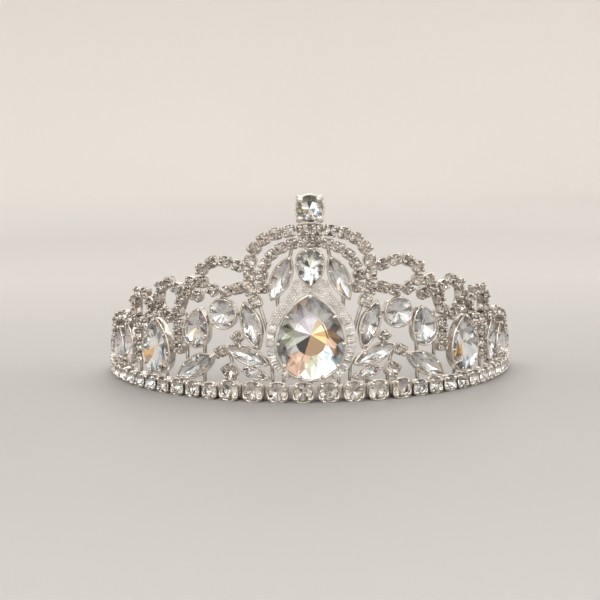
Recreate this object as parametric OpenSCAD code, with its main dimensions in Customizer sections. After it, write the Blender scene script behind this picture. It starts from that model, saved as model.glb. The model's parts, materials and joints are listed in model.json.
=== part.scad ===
// Bridal tiara: rows of cup-set round stones and claw-set pears and navettes, soldered to a
// band and a frame of wires that follow one upright cylinder round the front of the head.
// The frame's origin is the middle of the footprint on the table, +X to the wearer's left
// as seen from the front, -Y to the front and +Z up. Places are given as the distance
// round the arc from the front centre, the height, and a lean in the plane of the setting.

/* [Band] */
// Radius of the curved plane on which the backs of all the cups and settings lie
seat_r = 67.4; // [66.5:0.1:68]
// Radius at which distances round the arc are measured, near the girdles of the stones
arc_r = 70; // [69:0.1:71]
// Half of the angle that the band wraps round the head
wrap_half = 88.4; // [87.5:0.1:89.5]
// Height of the band strip
band_h = 5; // [3:0.1:5.2]
// Thickness of the band strip
band_t = 1.35; // [1.1:0.05:1.4]

/* [Wires] */
// Diameter of the rail wires that carry the cups
rail_d = 1.3; // [0.9:0.05:1.3]
// Diameter of the upright wires behind the rails
upright_d = 1.4; // [0.9:0.05:1.5]
// Number of sides on a wire
wire_sides = 8; // [6:1:10]

/* [End eyelets] */
// Radius of the hole for a hair pin
eyelet_bore_r = 1; // [0.8:0.05:1.2]
// Outer radius of the eyelet
eyelet_r = 2.4; // [2.1:0.1:2.6]
// Thickness of the eyelet and its tab
eyelet_t = 1.2; // [0.8:0.1:1.5]

/* [Cups] */
// Stone diameter in the large cups at the middle of the base row
base_stone_d = 5.8; // [5.4:0.1:5.9]
// Stone diameter in the cups along the sides of the base row
side_stone_d = 4.7; // [4.4:0.1:4.8]
// Stone diameter in the outer arch
outer_stone_d = 3.3; // [2.9:0.05:3.35]
// Stone diameter in the inner arch
inner_stone_d = 2.8; // [2.6:0.05:2.85]
// Stone diameter in the eye scrolls
eye_stone_d = 3.1; // [2.9:0.05:3.1]
// Stone diameter in the rings and the filler cups
scroll_stone_d = 3; // [2.7:0.05:3.05]
// Wall of a cup
cup_wall = 0.25; // [0.2:0.01:0.26]
// Clearance round a stone in its cup or setting
fit_gap = 0.06; // [0.04:0.01:0.08]

/* [Arches] */
// Half width of the outer arch at its widest
outer_half_w = 19.2; // [19.1:0.1:19.4]
// Height of the outer arch's crown
outer_top = 53.8; // [53.6:0.1:53.9]
// Half width of the inner arch at its widest
inner_half_w = 15.2; // [15.1:0.1:15.3]
// Height of the inner arch's crown
inner_top = 50.15; // [50:0.05:50.2]

/* [Settings] */
// Wall of a claw setting
wall = 0.6; // [0.5:0.05:0.65]
// Thickness of a setting's floor
floor_t = 0.5; // [0.4:0.05:0.7]
// Radius of a claw
claw_r = 0.34; // [0.28:0.01:0.36]
// Slope of the claw tips over the crown of the stone, in degrees
claw_slope = 38; // [36:1:42]

/* [Stones] */
// Width of a stone's table as a share of its outline
table_share = 0.58; // [0.5:0.01:0.62]
// Thickness of a stone's girdle
girdle_t = 0.3; // [0.2:0.05:0.35]

/* [Hidden] */

silver = "#c9c7c2";
bright_silver = "#d8d6d1";
crystal = "#e6e2da";
$fn = 40;

// A stone's kind: outline, length, width, height of its setting, height of its crown.
center_pear = ["pear", 26.2, 20.6, 4, 3.4];
center_halo = ["pear", 32, 28.6, 1.2, 0];
top_drop = ["pear", 11.2, 8, 2.6, 1.5];
crown_round = ["round", 8, 8, 2.8, 1.5];
upper_navette = ["navette", 13.6, 5.2, 2.4, 1.1];
side_navette = ["navette", 14, 5.2, 2.4, 1.1];
lower_navette = ["navette", 13.6, 4.6, 2.4, 0.95];
leaf_navette = ["navette", 8.4, 2.4, 2, 0.6];
wing_navette = ["navette", 15, 5.6, 2.4, 1.2];
side_round = ["round", 8.6, 8.6, 2.6, 1.6];
small_pear = ["pear", 12, 8.8, 2.6, 1.6];
side_pear = ["pear", 17.4, 12.8, 3, 2.2];
far_navette = ["navette", 13.4, 5.4, 2.4, 1.1];
end_pear = ["pear", 11.4, 7.6, 2.4, 1.4];
tail_navette = ["navette", 10.4, 4.2, 2.2, 0.9];

// Places of the stones on the right side: distance round the arc, height and lean.
center_pear_at = [0, 20.6, 0];
top_drop_at = [0, 42.1, 180];
crown_at = [0, 60.3, 0];
upper_navette_at = [9.15, 38.9, 24];
side_navette_at = [18.9, 24, -18];
lower_navette_at = [20.3, 14.6, -68];
leaf_navette_at = [18.1, 8.75, -73];
wing_navette_at = [39, 10.1, 61];
side_round_at = [28.5, 27.3, 0];
small_pear_at = [38.1, 22.5, 14];
side_pear_at = [55.7, 15.2, 0];
far_navette_at = [73.6, 13.5, -8];
end_pear_at = [83.1, 12.4, 0];
tail_navette_at = [98, 10.4, 58];

// Filler cups on the right side, between the larger settings. A cup's lean is the direction of
// its chain, so that its prongs stand clear of its neighbours'.
cluster = [[40.3, 36.9, -60], [41.6, 33.5, -60], [37.9, 32.6, 0]];
column_pitch = 3.8;
column = [for (i = [0:2]) [45.6, 22.9 - column_pitch * i]];
outer_column = [for (i = [0:2]) [66.2, 17.7 - column_pitch * i]];
sprig = [[23.6, 20.1], [29.4, 15.3]];
// The garland falls from the outer ring over the far stones to the tail of the band.
garland = [[72.3, 22.3], [75.6, 23.1], [82.8, 21.9], [86.5, 20.4], [89.5, 17.8], [90.5, 14.2],
           [90.5, 10.3]];
garland_count = 7;
filler_at = concat(cluster, column, outer_column, sprig, spaced(garland, garland_count));
// The two larger filler cups, which stand on the base row
berry_at = [[26.4, 9.3]];
berry_stone_d = 4.2;

cup_h = 2.6;
base_cup_h = 3;
prong_r = 0.25;
// How far the plate round the centre pear keeps clear of a setting or its claws
claw_stand = 0.2;

band_outer_r = seat_r - 0.05;
rail_r = seat_r - 0.05 - rail_d / 2;
upright_r = band_outer_r - band_t - 0.05 - upright_d / 2;
eyelet_out = band_outer_r - band_t - 0.12 - seat_r;

// The eyelet's tab lies against the inside of the band's end, and its disc beyond the end.
eyelet_turn = wrap_half - 1.6;
eyelet_reach = 4.8;
eyelet_tab = 2.6;
eyelet_tab_w = 2.6;
eyelet_z = 3;

front_r = seat_r + center_pear[3] + center_pear[4];
back_y = (eyelet_reach + eyelet_r) * sin(eyelet_turn)
  - (seat_r + eyelet_out - eyelet_t) * cos(eyelet_turn);
// Moves the cylinder's axis back so that the origin is the middle of the footprint
axis_y = (front_r - back_y) / 2;

// ---------- Places on the cylinder ----------

function turn(s) = s / arc_r * 180 / PI;
function mirrored(route) = [for (p = route) [-p[0], p[1]]];
function mirror_places(places) = [for (p = places) [-p[0], p[1], len(p) > 2 ? -p[2] : 0]];

// Puts a piece on the seat plane at a place, with its own X round the arc, Y up and Z outward.
module on_arc(place, out = 0) {
  lean = len(place) > 2 ? place[2] : 0;
  translate([0, axis_y, 0])
    rotate([0, 0, turn(place[0])])
      translate([0, -seat_r - out, place[1]])
        rotate([90, 0, 0])
          rotate([0, 0, lean])
            children();
}

// Puts a piece at a place and at its mirror place on the other side.
module on_both_sides(place) {
  on_arc(place) children();
  on_arc([-place[0], place[1], -place[2]]) children();
}

// ---------- Routes ----------

// Distance run along a list of points, up to each of them
function run(p) = [for (
  i = 0, d = 0;
  i < len(p);
  d = d + (i < len(p) - 1 ? norm(p[i + 1] - p[i]) : 0), i = i + 1
) d];

// Places spaced evenly along a route, from its first point to its last, each with a lean
// along the route
function spaced(p, count) =
  let (
    d = run(p),
    total = d[len(d) - 1],
    across = [for (i = [0:len(p) - 1]) [d[i], p[i][0]]],
    up = [for (i = [0:len(p) - 1]) [d[i], p[i][1]]],
    q = [for (k = [0:count - 1]) [lookup(total * k / (count - 1), across),
                                  lookup(total * k / (count - 1), up)]]
  )
  [for (k = [0:count - 1])
    let (step = q[min(k + 1, count - 1)] - q[max(k - 1, 0)])
    [q[k][0], q[k][1], atan2(step[1], step[0])]];

// A squared-off half ellipse over the front centre, from its right side to its left
function arch_curve(half_w, base_z, top_z, power) = [
  for (a = [0:5:180])
    [half_w * sign(cos(a)) * pow(abs(cos(a)), 2 / power),
     base_z + (top_z - base_z) * pow(max(sin(a), 0), 2 / power)]
];

function ellipse_arc(center, half_w, half_h, from, to, step) = [
  for (a = [from:step:to]) [center[0] + half_w * cos(a), center[1] + half_h * sin(a)]
];

outer_foot = [[17.4, 31.4], [19.1, 35.4]];
inner_foot = [[15, 35.8]];
outer_arch = concat(
  outer_foot,
  arch_curve(outer_half_w, 40.2, outer_top, 2.7),
  mirrored([outer_foot[1], outer_foot[0]])
);
inner_arch = concat(
  inner_foot,
  arch_curve(inner_half_w, 38.6, inner_top, 2.15),
  mirrored(inner_foot)
);
// Legs that carry the outer arch's rail on down to the top of the band
outer_leg = [[12.6, band_h + 0.05], [13, 14], [14.4, 24]];

eye_at = [28.6, 39.1];
eye_curve = ellipse_arc(eye_at, 8.3, 4.8, -132, 132, 11);
eye_places = spaced(eye_curve, 8);
ring_a_at = [49.8, 30.7];
ring_a_r = 5.4;
ring_b_at = [64.2, 26.7];
ring_b_r = 5.35;
function ring_places(center, radius, count, phase) = [
  for (k = [0:count - 1])
    let (a = phase + 360 * k / count)
    [center[0] + radius * cos(a), center[1] + radius * sin(a), a + 90]
];
scroll_ring_places = concat(
  ring_places(ring_a_at, ring_a_r, 8, 0),
  ring_places(ring_b_at, ring_b_r, 8, 22.5)
);

outer_count = 18;
inner_count = 14;
outer_places = spaced(outer_arch, outer_count);
inner_places = spaced(inner_arch, inner_count);

// ---------- Base row ----------

base_count = 8;
base_pitch = 8;
// The large cups stand half a pitch off the front centre
base_center_shift = 1.4;
side_count = 12;
side_end = 105;
base_z = base_stone_d / 2 + cup_wall + fit_gap + 0.06;
side_z = side_stone_d / 2 + cup_wall + fit_gap + 0.06;
base_center_places = [
  for (i = [0:base_count - 1])
    [(i - (base_count - 1) / 2) * base_pitch + base_center_shift, base_z]
];
center_to_side = 7.1;
function side_row(first) = [
  for (i = [0:side_count - 1])
    [first + (side_end - first) * i / (side_count - 1), side_z]
];
base_right_places = side_row(base_center_places[base_count - 1][0] + center_to_side);
base_left_places = mirror_places(side_row(center_to_side - base_center_places[0][0]));

// ---------- Wires ----------

function on_cylinder(p, r) = [r * sin(turn(p[0])), axis_y - r * cos(turn(p[0])), p[1]];
function outward(s) = [sin(turn(s)), -cos(turn(s)), 0];
function unit(v) = v / norm(v);

// The ring of corners round a wire at point i of its route
function wire_ring(c, s, i, d, closed) =
  let (
    n = len(c),
    before = closed ? c[(i + n - 1) % n] : c[max(i - 1, 0)],
    after = closed ? c[(i + 1) % n] : c[min(i + 1, n - 1)],
    out = outward(s),
    side = unit(cross(unit(after - before), out))
  )
  [for (k = [0:wire_sides - 1])
    c[i] + d / 2 * (cos(360 * k / wire_sides) * out + sin(360 * k / wire_sides) * side)];

// A wire of one diameter along a route on the cylinder
module wire(route, d, r, closed = false) {
  c = [for (p = route) on_cylinder(p, r)];
  n = len(c);
  m = wire_sides;
  points = [for (i = [0:n - 1]) each wire_ring(c, route[i][0], i, d, closed)];
  walls = [
    for (i = [0:closed ? n - 1 : n - 2]) for (k = [0:m - 1])
      let (a = i * m, b = ((i + 1) % n) * m, k2 = (k + 1) % m)
      each [[a + k, a + k2, b + k2], [a + k, b + k2, b + k]]
  ];
  ends = closed ? [] : [
    [for (k = [m - 1:-1:0]) k],
    [for (k = [0:m - 1]) (n - 1) * m + k]
  ];
  polyhedron(points = points, faces = concat(walls, ends), convexity = 8);
}

module rail(route, closed = false) {
  color(silver) wire(route, rail_d, rail_r, closed);
}

module upright(route) {
  color(silver) wire(route, upright_d, upright_r);
}

// ---------- Cups ----------

// One cup: a drilled round cup with four prongs that lean in over the stone
module cup(stone_d, h) {
  seat = stone_d / 2 + fit_gap;
  color(bright_silver) {
    difference() {
      cylinder(r = seat + cup_wall, h = h);
      translate([0, 0, floor_t])
        cylinder(r = seat, h = h);
    }
    for (a = [45:90:315])
      rotate([0, 0, a])
        prong(seat, h);
  }
}

module prong(seat, h) {
  root = h - 1.2;
  translate([seat + prong_r + 0.02, 0, root])
    cylinder(r = prong_r, h = h + 0.35 - root, $fn = 16);
  translate([seat + prong_r + 0.02, 0, h + 0.12])
    rotate([0, claw_slope - 90, 0])
      cylinder(r = prong_r - 0.04, h = 0.65, $fn = 16);
}

// One round stone in a cup: a flat table, a sloping crown, a girdle and a pointed back
module cup_stone(stone_d, h) {
  r = stone_d / 2;
  crown_h = r * (1 - table_share) * 0.8;
  back_h = h - floor_t - girdle_t - 0.1;
  color(crystal) {
    translate([0, 0, h - 0.05])
      cylinder(r1 = r, r2 = r * table_share, h = crown_h);
    translate([0, 0, h - 0.05 - girdle_t])
      cylinder(r = r, h = girdle_t);
    translate([0, 0, h - 0.05 - girdle_t - back_h])
      cylinder(r1 = r * 0.12, r2 = r, h = back_h);
  }
}

module cups_at(places, stone_d, h = cup_h) {
  for (p = places)
    on_arc(p)
      cup(stone_d, h);
}

module stones_at(places, stone_d, h = cup_h) {
  for (p = places)
    on_arc(p)
      cup_stone(stone_d, h);
}

// ---------- Outlines of the larger stones ----------

function navette_radius(l, w) = (l * l + w * w) / (4 * w);

module navette_shape(l, w) {
  r = navette_radius(l, w);
  intersection() {
    translate([r - w / 2, 0])
      circle(r, $fn = 90);
    translate([w / 2 - r, 0])
      circle(r, $fn = 90);
  }
}

function navette_outline(l, w, n) =
  let (r = navette_radius(l, w), half = asin(l / 2 / r), flank = [
    for (i = [0:n - 1])
      let (a = half * (2 * i / n - 1))
      [r * cos(a) - r + w / 2, r * sin(a)]
  ])
  concat(flank, -flank);

// A pear is a round foot of radius w / 2 under two arcs that meet at the tip
function pear_rise(l, w) = l - w / 2;
function pear_offset(l, w) = (pow(pear_rise(l, w), 2) - w * w / 4) / w;
function pear_foot(l, w) = (w - l) / 2;

module pear_shape(l, w) {
  c = pear_offset(l, w);
  translate([0, pear_foot(l, w)]) {
    circle(w / 2, $fn = 60);
    intersection() {
      translate([-c, 0])
        circle(w / 2 + c, $fn = 90);
      translate([c, 0])
        circle(w / 2 + c, $fn = 90);
      translate([-w, 0])
        square([2 * w, l]);
    }
  }
}

function pear_outline(l, w, n) =
  let (
    a = w / 2,
    c = pear_offset(l, w),
    y0 = pear_foot(l, w),
    half = atan2(pear_rise(l, w), c),
    foot = [for (i = [0:n - 1]) [a * cos(180 + 180 * i / n), y0 + a * sin(180 + 180 * i / n)]],
    flank = [for (i = [0:n]) [(a + c) * cos(half * i / n) - c, y0 + (a + c) * sin(half * i / n)]]
  )
  concat(foot, flank, [for (i = [n - 1:-1:1]) [-flank[i][0], flank[i][1]]]);

module shape_of(kind, grow) {
  l = kind[1] + 2 * grow;
  w = kind[2] + 2 * grow;
  if (kind[0] == "navette") navette_shape(l + grow, w);
  if (kind[0] == "pear") pear_shape(l, w);
  if (kind[0] == "round") circle(d = w);
}

// Places of the claws round a stone: x, y and the direction that the claw stands out in
function navette_claws(l, w) =
  let (r = navette_radius(l, w), half = asin(l / 2 / r))
  concat(
    [[0, l / 2 + 0.1, 90], [0, -l / 2 - 0.1, 270]],
    [for (side = [0, 180]) for (a = [-0.42, 0.42] * half)
      let (x = r * cos(a) - r + w / 2, y = r * sin(a))
      side == 0 ? [x, y, a] : [-x, -y, a + 180]]
  );

function pear_claws(l, w, foot_angles, flank_shares) =
  let (a = w / 2, c = pear_offset(l, w), y0 = pear_foot(l, w), half = atan2(pear_rise(l, w), c))
  concat(
    [[0, l / 2 + 0.05, 90]],
    [for (b = foot_angles) [a * cos(b), y0 + a * sin(b), b]],
    [for (t = flank_shares * half) for (m = [1, -1])
      [m * ((a + c) * cos(t) - c), y0 + (a + c) * sin(t), m > 0 ? t : 180 - t]]
  );

function round_claws(d, count) = [
  for (i = [0:count - 1])
    let (a = 45 + 360 * i / count)
    [d / 2 * cos(a), d / 2 * sin(a), a]
];

function claws_of(kind) =
  kind[0] == "navette" ? navette_claws(kind[1], kind[2])
  : kind[0] == "round" ? round_claws(kind[1], 4)
  : pear_claws(kind[1], kind[2], [215, 250, 290, 325], [0.05, 0.5]);

// ---------- Settings and stones ----------

// A closed-backed setting: a wall round the stone, open at the front, with claws over the edge
module setting(kind) {
  h = kind[3];
  color(bright_silver) {
    difference() {
      linear_extrude(height = h)
        shape_of(kind, fit_gap + wall);
      translate([0, 0, floor_t])
        linear_extrude(height = h)
          shape_of(kind, fit_gap);
    }
    for (c = claws_of(kind))
      translate([c[0], c[1], 0])
        rotate([0, 0, c[2]])
          translate([fit_gap + claw_r + 0.03, 0, 0])
            claw(h);
  }
}

module claw(h) {
  cylinder(r = claw_r, h = h + 0.4, $fn = 20);
  translate([0, 0, h + 0.15])
    rotate([0, claw_slope - 90, 0])
      cylinder(r = claw_r - 0.06, h = 1.1, $fn = 20);
}

// A faceted stone: its outline drawn in to the table at the front and to a point at the back
module stone(kind) {
  outline = kind[0] == "navette" ? navette_outline(kind[1], kind[2], 10)
    : pear_outline(kind[1], kind[2], 8);
  n = len(outline);
  girdle_z = kind[3] - 0.05;
  levels = [
    [0.12, floor_t + 0.05], [1, girdle_z - girdle_t], [1, girdle_z], [table_share, kind[3] + kind[4]]
  ];
  points = [for (v = levels) for (p = outline) [p[0] * v[0], p[1] * v[0], v[1]]];
  sides = [
    for (k = [0:len(levels) - 2]) for (i = [0:n - 1])
      [k * n + i, (k + 1) * n + i, (k + 1) * n + (i + 1) % n, k * n + (i + 1) % n]
  ];
  back = [for (i = [0:n - 1]) i];
  table = [for (i = [n - 1:-1:0]) (len(levels) - 1) * n + i];
  color(crystal)
    polyhedron(points = points, faces = concat([back], sides, [table]), convexity = 4);
}

module round_stone(kind) {
  r = kind[1] / 2;
  girdle_z = kind[3] - 0.05;
  color(crystal) {
    translate([0, 0, girdle_z])
      cylinder(r1 = r, r2 = r * table_share, h = kind[4] + 0.05);
    translate([0, 0, girdle_z - girdle_t])
      cylinder(r = r, h = girdle_t);
    translate([0, 0, floor_t + 0.05])
      cylinder(r1 = r * 0.12, r2 = r, h = girdle_z - girdle_t - floor_t - 0.05);
  }
}

// ---------- Frame ----------

module base_band() {
  color(silver)
    translate([0, axis_y, 0])
      rotate([0, 0, -90 - wrap_half])
        rotate_extrude(angle = 2 * wrap_half, $fn = 180)
          translate([band_outer_r - band_t, 0])
            square([band_t, band_h]);
}

module arch_rails() {
  rail(concat(outer_leg, outer_arch, mirrored([outer_leg[2], outer_leg[1], outer_leg[0]])));
  rail(inner_arch);
  rail([[0, outer_top + rail_d / 2 + 0.05], [0, 62]]);
}

// Rails behind the scrolls on the right side: the eye, the two rings, the cluster between
// them, the cross wire behind the round stone and the garland
module scroll_rails() {
  rail(eye_curve);
  rail(ellipse_arc(ring_a_at, ring_a_r, ring_a_r, 0, 345, 15), closed = true);
  rail(ellipse_arc(ring_b_at, ring_b_r, ring_b_r, 0, 345, 15), closed = true);
  rail([[39.2, 38.4], [40.3, 36.9], [41.6, 33.5], [42.6, 32.4]]);
  rail([[37.4, 31.6], [37.9, 32.6], [38.5, 34.6]]);
  rail([for (i = [0:4]) [20.5 + 4 * i, 27.2]]);
  rail(garland);
}

module right_scroll_rails() { scroll_rails(); }

module left_scroll_rails() { mirror([1, 0, 0]) scroll_rails(); }

module center_uprights() {
  flank = [[9.4, 0.3], [9, 12], [9.4, 22], [12, 32], [9.2, 38.5], [6.4, 45], [5.9, 49.2]];
  upright([[0, 0.3], [0, 54]]);
  upright(flank);
  upright(mirrored(flank));
}

module side_uprights() {
  upright([[18.8, 0.3], [19.4, 12], [17.4, 18.5], [18.7, 24], [20.8, 30.4]]);
  upright([[26.3, 0.3], [26.4, 9.3], [28.6, 15.4]]);
  upright([[38.2, 0.3], [38.4, 14], [36.8, 26]]);
  upright([[45.6, 0.3], [45.6, 27]]);
  upright([[56, 0.3], [56, 22], [56.7, 28]]);
  upright([[66.1, 0.3], [66.1, 22.6]]);
  upright([[73.4, 0.3], [74.6, 23]]);
  upright([[83, 0.3], [83, 21.8]]);
  upright([[90.3, 0.3], [90.3, 15]]);
  upright([[97.3, 0.3], [97.3, 11]]);
}

module right_uprights() { side_uprights(); }

module left_uprights() { mirror([1, 0, 0]) side_uprights(); }

module end_eyelet() {
  color(silver)
    translate([0, axis_y, 0])
      rotate([0, 0, eyelet_turn])
        translate([0, -seat_r - eyelet_out + eyelet_t, eyelet_z])
          rotate([90, 0, 0])
            difference() {
              union() {
                translate([eyelet_reach, 0, 0])
                  cylinder(r = eyelet_r, h = eyelet_t);
                translate([-eyelet_tab, -eyelet_tab_w / 2, 0])
                  cube([eyelet_tab + eyelet_reach, eyelet_tab_w, eyelet_t]);
              }
              translate([eyelet_reach, 0, -1])
                cylinder(r = eyelet_bore_r, h = eyelet_t + 2);
            }
}

module right_end_eyelet() { end_eyelet(); }

module left_end_eyelet() { mirror([1, 0, 0]) end_eyelet(); }

// ---------- Rows of cups ----------

module base_center_cups() { cups_at(base_center_places, base_stone_d, base_cup_h); }
module base_center_stones() { stones_at(base_center_places, base_stone_d, base_cup_h); }
module base_left_cups() { cups_at(base_left_places, side_stone_d); }
module base_left_stones() { stones_at(base_left_places, side_stone_d); }
module base_right_cups() { cups_at(base_right_places, side_stone_d); }
module base_right_stones() { stones_at(base_right_places, side_stone_d); }

module outer_arch_cups() { cups_at(outer_places, outer_stone_d); }
module outer_arch_stones() { stones_at(outer_places, outer_stone_d); }
module inner_arch_cups() { cups_at(inner_places, inner_stone_d); }
module inner_arch_stones() { stones_at(inner_places, inner_stone_d); }

module right_eye_cups() { cups_at(eye_places, eye_stone_d); }
module left_eye_cups() { cups_at(mirror_places(eye_places), eye_stone_d); }
module eye_stones() { stones_at(concat(eye_places, mirror_places(eye_places)), eye_stone_d); }

module right_ring_cups() { cups_at(scroll_ring_places, scroll_stone_d); }
module left_ring_cups() { cups_at(mirror_places(scroll_ring_places), scroll_stone_d); }
module ring_stones() {
  stones_at(concat(scroll_ring_places, mirror_places(scroll_ring_places)), scroll_stone_d);
}

module right_filler_cups() {
  cups_at(filler_at, scroll_stone_d);
  cups_at(berry_at, berry_stone_d);
}
module left_filler_cups() {
  cups_at(mirror_places(filler_at), scroll_stone_d);
  cups_at(mirror_places(berry_at), berry_stone_d);
}
module filler_stones() {
  stones_at(concat(filler_at, mirror_places(filler_at)), scroll_stone_d);
  stones_at(concat(berry_at, mirror_places(berry_at)), berry_stone_d);
}

// ---------- Larger stones ----------

module center_pear_setting() { on_arc(center_pear_at) setting(center_pear); }
module center_pear_stone() { on_arc(center_pear_at) stone(center_pear); }

// A place on the cylinder laid flat round the centre pear's middle
function flat_at(place) = [place[0] * seat_r / arc_r, place[1] - center_pear_at[1]];

// Room in the plate for a neighbouring setting and its claws
module room_for(kind, place) {
  translate(flat_at(place))
    rotate(place[2])
      shape_of(kind, fit_gap + 2 * claw_r + claw_stand);
}

// The crest of the plate, which fills the space up to the inverted pear and the upper navettes
crest_foot = [8.5, 30];
crest_top = [5.4, 38.6];

module crest_shape() {
  corners = [flat_at(crest_foot), flat_at(crest_top)];
  polygon([corners[0], corners[1], [-corners[1][0], corners[1][1]], [-corners[0][0], corners[0][1]]]);
}

// A plate round the centre setting's foot, cut off level above the base row
module center_pear_halo() {
  plate_r = 40;
  color(bright_silver)
    on_arc(center_pear_at)
      linear_extrude(height = center_halo[3])
        difference() {
          union() {
            shape_of(center_halo, 0);
            crest_shape();
          }
          shape_of(center_pear, fit_gap + wall + claw_stand);
          room_for(top_drop, top_drop_at);
          room_for(upper_navette, upper_navette_at);
          room_for(upper_navette, [-upper_navette_at[0], upper_navette_at[1], -upper_navette_at[2]]);
          translate([-plate_r / 2, base_z * 2 + 0.15 - center_pear_at[1] - plate_r])
            square(plate_r);
        }
}

module top_drop_setting() { on_arc(top_drop_at) setting(top_drop); }
module top_drop_stone() { on_arc(top_drop_at) stone(top_drop); }
module crown_setting() { on_arc(crown_at) setting(crown_round); }
module crown_stone() { on_arc(crown_at) round_stone(crown_round); }

module upper_navette_settings() { on_both_sides(upper_navette_at) setting(upper_navette); }
module upper_navette_stones() { on_both_sides(upper_navette_at) stone(upper_navette); }
module side_navette_settings() { on_both_sides(side_navette_at) setting(side_navette); }
module side_navette_stones() { on_both_sides(side_navette_at) stone(side_navette); }
module lower_navette_settings() { on_both_sides(lower_navette_at) setting(lower_navette); }
module lower_navette_stones() { on_both_sides(lower_navette_at) stone(lower_navette); }
module leaf_navette_settings() { on_both_sides(leaf_navette_at) setting(leaf_navette); }
module leaf_navette_stones() { on_both_sides(leaf_navette_at) stone(leaf_navette); }
module wing_navette_settings() { on_both_sides(wing_navette_at) setting(wing_navette); }
module wing_navette_stones() { on_both_sides(wing_navette_at) stone(wing_navette); }
module round_settings() { on_both_sides(side_round_at) setting(side_round); }
module round_stones() { on_both_sides(side_round_at) round_stone(side_round); }
module small_pear_settings() { on_both_sides(small_pear_at) setting(small_pear); }
module small_pear_stones() { on_both_sides(small_pear_at) stone(small_pear); }
module side_pear_settings() { on_both_sides(side_pear_at) setting(side_pear); }
module side_pear_stones() { on_both_sides(side_pear_at) stone(side_pear); }
module far_navette_settings() { on_both_sides(far_navette_at) setting(far_navette); }
module far_navette_stones() { on_both_sides(far_navette_at) stone(far_navette); }
module end_pear_settings() { on_both_sides(end_pear_at) setting(end_pear); }
module end_pear_stones() { on_both_sides(end_pear_at) stone(end_pear); }
module tail_navette_settings() { on_both_sides(tail_navette_at) setting(tail_navette); }
module tail_navette_stones() { on_both_sides(tail_navette_at) stone(tail_navette); }

base_band();
arch_rails();
left_scroll_rails();
right_scroll_rails();
center_uprights();
left_uprights();
right_uprights();
left_end_eyelet();
right_end_eyelet();
base_center_cups();
base_left_cups();
base_right_cups();
base_center_stones();
base_left_stones();
base_right_stones();
outer_arch_cups();
outer_arch_stones();
inner_arch_cups();
inner_arch_stones();
left_eye_cups();
right_eye_cups();
eye_stones();
left_ring_cups();
right_ring_cups();
ring_stones();
left_filler_cups();
right_filler_cups();
filler_stones();
center_pear_setting();
center_pear_halo();
center_pear_stone();
top_drop_setting();
top_drop_stone();
crown_setting();
crown_stone();
upper_navette_settings();
upper_navette_stones();
side_navette_settings();
side_navette_stones();
lower_navette_settings();
lower_navette_stones();
leaf_navette_settings();
leaf_navette_stones();
wing_navette_settings();
wing_navette_stones();
round_settings();
round_stones();
small_pear_settings();
small_pear_stones();
side_pear_settings();
side_pear_stones();
far_navette_settings();
far_navette_stones();
end_pear_settings();
end_pear_stones();
tail_navette_settings();
tail_navette_stones();
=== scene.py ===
import json
import math

import bmesh
import bpy
import numpy as np
from mathutils import Matrix, Vector


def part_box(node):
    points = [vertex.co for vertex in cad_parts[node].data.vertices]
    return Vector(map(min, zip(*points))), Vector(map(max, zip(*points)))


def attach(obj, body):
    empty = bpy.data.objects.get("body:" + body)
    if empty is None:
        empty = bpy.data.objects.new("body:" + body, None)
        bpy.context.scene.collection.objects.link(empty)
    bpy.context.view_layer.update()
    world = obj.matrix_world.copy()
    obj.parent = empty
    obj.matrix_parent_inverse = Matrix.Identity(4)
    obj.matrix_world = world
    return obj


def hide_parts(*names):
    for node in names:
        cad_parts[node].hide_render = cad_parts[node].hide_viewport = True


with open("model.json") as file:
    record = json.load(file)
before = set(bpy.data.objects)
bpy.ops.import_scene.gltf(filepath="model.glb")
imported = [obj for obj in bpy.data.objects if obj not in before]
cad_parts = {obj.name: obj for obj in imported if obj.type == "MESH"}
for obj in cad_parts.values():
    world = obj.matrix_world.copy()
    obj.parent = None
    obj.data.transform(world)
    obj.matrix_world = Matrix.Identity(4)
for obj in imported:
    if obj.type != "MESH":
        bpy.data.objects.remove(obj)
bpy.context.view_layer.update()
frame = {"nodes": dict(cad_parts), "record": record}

MM = 0.001
UP = np.array([0.0, 0.0, 1.0])
# Times this, a direction is made level
LEVEL = np.array([1.0, 1.0, 0.0])

band_low, band_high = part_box("base_band")
# The axis of the upright cylinder on which the whole tiara is bent
AXIS = np.array([0.0, band_low.y + (band_high.x - band_low.x) / 2, 0.0])

# The gap round a stone, the walls that stand round it, and the floor's height behind it
FIT_GAP = 0.06 * MM
CUP_WALL = 0.25 * MM
SETTING_WALL = 0.6 * MM
FLOOR = 0.5 * MM

# Material slots: of a stone, and of the plate's ground, under its bright grains and ridges, whose
# darker metal is painted shade
GLASS, FOIL = 0, 1
PAINTED_SHADE_SLOT = 1


# ---------- Reading the CAD solids ----------

# Cosine of the most that a face of a piece's flat back or front may lean
FLAT_COSINE = 0.985
# Points at least this share of the way out from a stone's middle lie on its girdle
GIRDLE_SHARE = 0.995
LEVEL_SLACK = 0.02 * MM
# Points this share of its width from a pear's middle line lie at its round end
PEAR_END_SHARE = 0.42


def read_mesh(node):
    """A CAD node's points, those within a micrometre made one, and its triangles."""
    mesh = frame["nodes"][node].data
    points = np.zeros(len(mesh.vertices) * 3)
    mesh.vertices.foreach_get("co", points)
    points = points.reshape(-1, 3)
    mesh.calc_loop_triangles()
    corners = np.zeros(len(mesh.loop_triangles) * 3, int)
    mesh.loop_triangles.foreach_get("vertices", corners)
    near = np.round(points, 6)
    _, first, merged = np.unique(near, axis=0, return_index=True, return_inverse=True)
    return points[first], merged.reshape(-1)[corners].reshape(-1, 3)


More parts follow.
